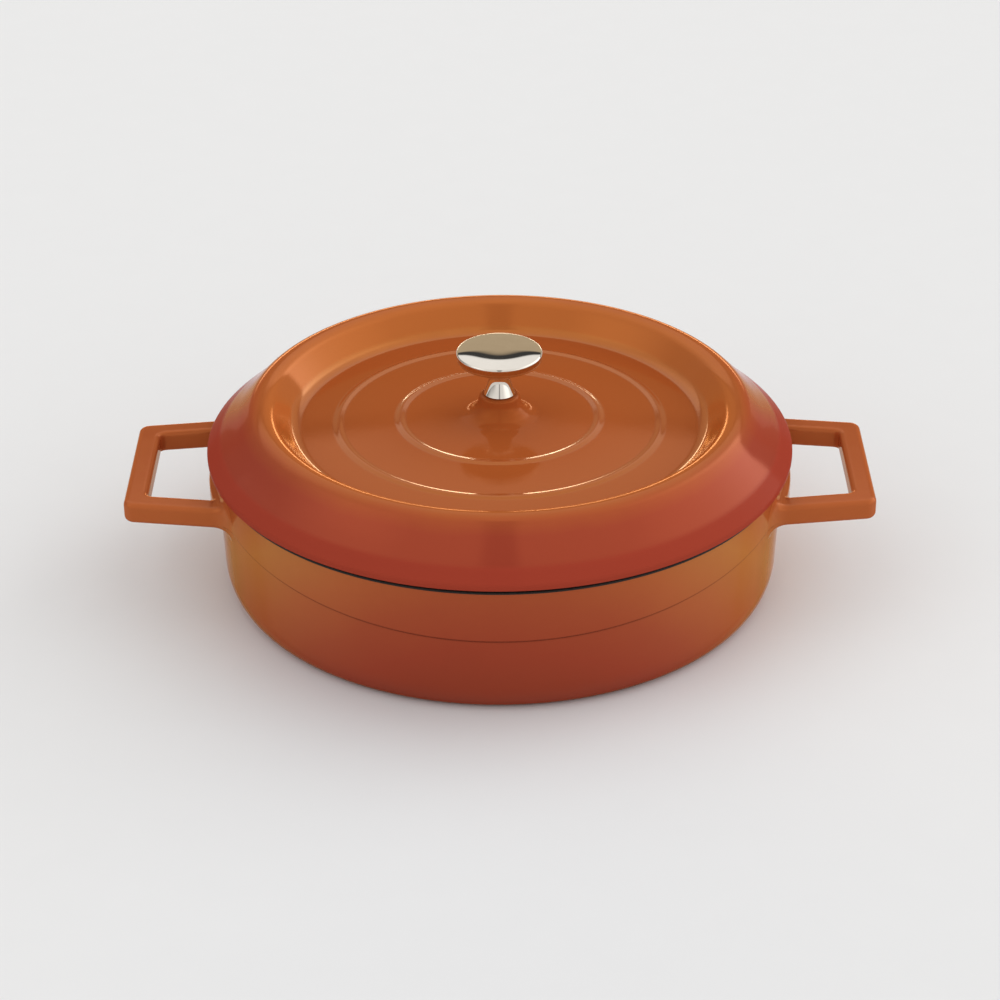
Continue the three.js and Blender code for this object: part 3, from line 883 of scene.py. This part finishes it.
make_pot()
make_lid()
make_knob()
make_ring("gasket_ring", GASKET_WIDTH, KNOB_FOOT, KNOB_FOOT + GASKET_THICKNESS, GASKET_EDGE, fibre,
          "knob_gasket", "gasket_fibre")
make_ring("washer_flat", FLAT_WASHER_WIDTH, flat_washer_high - WASHER_THICKNESS, flat_washer_high,
          FLAT_WASHER_EDGE, plain, "flat_washer", "plain_steel")
make_spring_washer(spring_washer_high)
make_screw(spring_washer_high - WASHER_THICKNESS - GAP)


# Floor, light and camera, in metres. Directions of the light are unit vectors, and `turn` runs from the
# horizon behind (0) over the top to the horizon in front (1).

FLOOR_HALF = 60.0
FLOOR_TONES = [(0.2, (0.760, 0.763, 0.767)), (0.8, (0.768, 0.771, 0.775))]

WHITE = (1.0, 1.0, 1.0, 1.0)
MIDDLE_TONES = [
    (0.1470, (0.50, 0.40, 0.27)),
    (0.1480, grey(0.05)),
    (0.1590, grey(0.05)),
    (0.1603, grey(1.0)),
    (0.42, grey(1.0)),
    (0.62, grey(0.88)),
]
MIDDLE_STRENGTH = 1.08
FRONT_GAP_TURN, FRONT_GAP_DEPTH = (0.53, 0.56), (0.0, 0.6)
FRONT_GAP_HALF = (0.06, 0.11)
SIDE_DEPTH = (-0.3, 0.3)
SIDE_TONES = [(0.0, grey(0.85)), (1.0, grey(0.25))]
SIDE_RISE = (0.0, 0.6)
LEFT_STRENGTH = (0.55, 2.1)
RIGHT_STRENGTH = (1.9, 1.3)
SIDE_START, SIDE_FULL = 0.45, 0.8
TALL_PANEL = {"centre": (0.853, 0.229, 0.469), "roll": math.radians(35.0),
              "left": (-0.50, -0.55), "right": (-0.45, 0.65), "low": (-0.25, -0.50), "high": (0.35, 0.60)}
TALL_STRENGTH = 2.2
LOW_PANEL = {"centre": (0.0, 1.0, 0.0), "roll": 0.0,
             "left": (-0.25, -0.45), "right": (0.25, 0.45), "low": (0.08, 0.06), "high": (0.15, 0.18)}
LOW_COLOUR = (1.0, 0.85, 0.62, 1.0)
LOW_STRENGTH = 8.0

SENSOR = 36.0
FOCAL_LENGTHS_PER_WIDTH = 2.9664
CAMERA_ELEVATION = math.radians(28.903)
CAMERA_DISTANCE = 1.540
CAMERA_TARGET = Vector((0.0, 0.0, 0.03906))
CAMERA_ROLL = math.radians(-0.271)


def make_floor():
    work = bmesh.new()
    bmesh.ops.create_grid(work, x_segments=8, y_segments=8, size=FLOOR_HALF)
    mesh = bpy.data.meshes.new("floor")
    work.to_mesh(mesh)
    work.free()
    floor = bpy.data.objects.new("floor", mesh)
    bpy.context.scene.collection.objects.link(floor)
    material, nodes, links, shader = node_material("pale_floor")
    grain = noise(nodes, links, object_place(nodes), 40.0, detail=4.0)
    links.new(ramp(nodes, links, grain, FLOOR_TONES), shader.inputs["Base Color"])
    shader.inputs["Roughness"].default_value = 0.9
    mesh.materials.append(material)


def dot(nodes, links, vector, axis):
    return vector_node(nodes, links, "DOT_PRODUCT", vector, axis).outputs["Value"]


def panel(nodes, links, way, centre, roll, left, right, low, high):
    """A flat panel seen in a direction; each edge is a pair of slopes, from full light to none."""
    centre = Vector(centre).normalized()
    side = centre.cross((0.0, 0.0, 1.0)).normalized()
    turn = Matrix.Rotation(-roll, 3, centre)
    side, up = turn @ side, turn @ side.cross(centre)
    ahead = math_node(nodes, links, "MAXIMUM", dot(nodes, links, way, centre), 0.001)
    across = math_node(nodes, links, "DIVIDE", dot(nodes, links, way, side), ahead)
    upward = math_node(nodes, links, "DIVIDE", dot(nodes, links, way, up), ahead)
    light = mapped(nodes, links, dot(nodes, links, way, centre), (0.02, 0.05), UNIT)
    for value, edge in ((across, left), (across, right), (upward, low), (upward, high)):
        light = math_node(nodes, links, "MULTIPLY", light, mapped(nodes, links, value, edge, (1.0, 0.0)))
    return light


def background(nodes, links, colour, strength):
    node = nodes.new("ShaderNodeBackground")
    for name, value in (("Color", colour), ("Strength", strength)):
        if isinstance(value, bpy.types.NodeSocket):
            links.new(value, node.inputs[name])
        else:
            node.inputs[name].default_value = value
    return node.outputs["Background"]


def joined(nodes, links, kind, *values):
    node = nodes.new(kind)
    for socket, value in zip(node.inputs, values):
        links.new(value, socket)
    return node.outputs["Shader"]


def make_world():
    """A studio all round: a dim wall low behind, a white ceiling, and sides that darken to the back."""
    world = bpy.data.worlds.new("studio")
    bpy.context.scene.world = world
    world.use_nodes = True
    nodes, links = world.node_tree.nodes, world.node_tree.links
    nodes.remove(nodes["Background"])
    way = nodes.new("ShaderNodeTexCoord").outputs["Generated"]
    split = nodes.new("ShaderNodeSeparateXYZ")
    links.new(way, split.inputs["Vector"])
    x, y, z = (split.outputs[k] for k in "XYZ")

    turn = mapped(nodes, links, math_node(nodes, links, "ARCTAN2", z, y), (0.0, math.pi), UNIT)
    across = math_node(nodes, links, "ABSOLUTE", x)
    ahead = mapped(nodes, links, turn, FRONT_GAP_TURN, FRONT_GAP_DEPTH)
    narrow = mapped(nodes, links, across, FRONT_GAP_HALF, (1.0, 0.0))
    gap = math_node(nodes, links, "MULTIPLY", narrow, ahead)
    middle = background(nodes, links, ramp(nodes, links, turn, MIDDLE_TONES),
                        mapped(nodes, links, gap, UNIT, (MIDDLE_STRENGTH, 0.0)))

    tone = ramp(nodes, links, mapped(nodes, links, y, SIDE_DEPTH, UNIT), SIDE_TONES)
    left = background(nodes, links, tone, mapped(nodes, links, z, SIDE_RISE, LEFT_STRENGTH))
    right = background(nodes, links, tone, mapped(nodes, links, z, SIDE_RISE, RIGHT_STRENGTH))
    to_left = mapped(nodes, links, x, (-SIDE_FULL, -SIDE_START), (1.0, 0.0))
    to_right = mapped(nodes, links, x, (SIDE_START, SIDE_FULL), UNIT)
    light = joined(nodes, links, "ShaderNodeMixShader", to_left, middle, left)
    light = joined(nodes, links, "ShaderNodeMixShader", to_right, light, right)

    for place, colour, strength in ((TALL_PANEL, WHITE, TALL_STRENGTH), (LOW_PANEL, LOW_COLOUR, LOW_STRENGTH)):
        amount = math_node(nodes, links, "MULTIPLY", panel(nodes, links, way, **place), strength)
        lamp = background(nodes, links, colour, amount)
        light = joined(nodes, links, "ShaderNodeAddShader", light, lamp)
    links.new(light, nodes["World Output"].inputs["Surface"])


def make_camera():
    data = bpy.data.cameras.new("camera")
    data.sensor_width = SENSOR
    data.lens = SENSOR * FOCAL_LENGTHS_PER_WIDTH
    camera = bpy.data.objects.new("camera", data)
    toward = Vector((0.0, -math.cos(CAMERA_ELEVATION), math.sin(CAMERA_ELEVATION)))
    camera.location = CAMERA_TARGET + CAMERA_DISTANCE * toward
    turn = Euler((math.pi / 2 - CAMERA_ELEVATION, 0.0, 0.0)).to_matrix()
    camera.rotation_euler = (turn @ Matrix.Rotation(CAMERA_ROLL, 3, "Z")).to_euler()
    bpy.context.scene.collection.objects.link(camera)
    bpy.context.scene.camera = camera


make_floor()
make_world()
make_camera()
bpy.context.scene.view_settings.view_transform = "Standard"
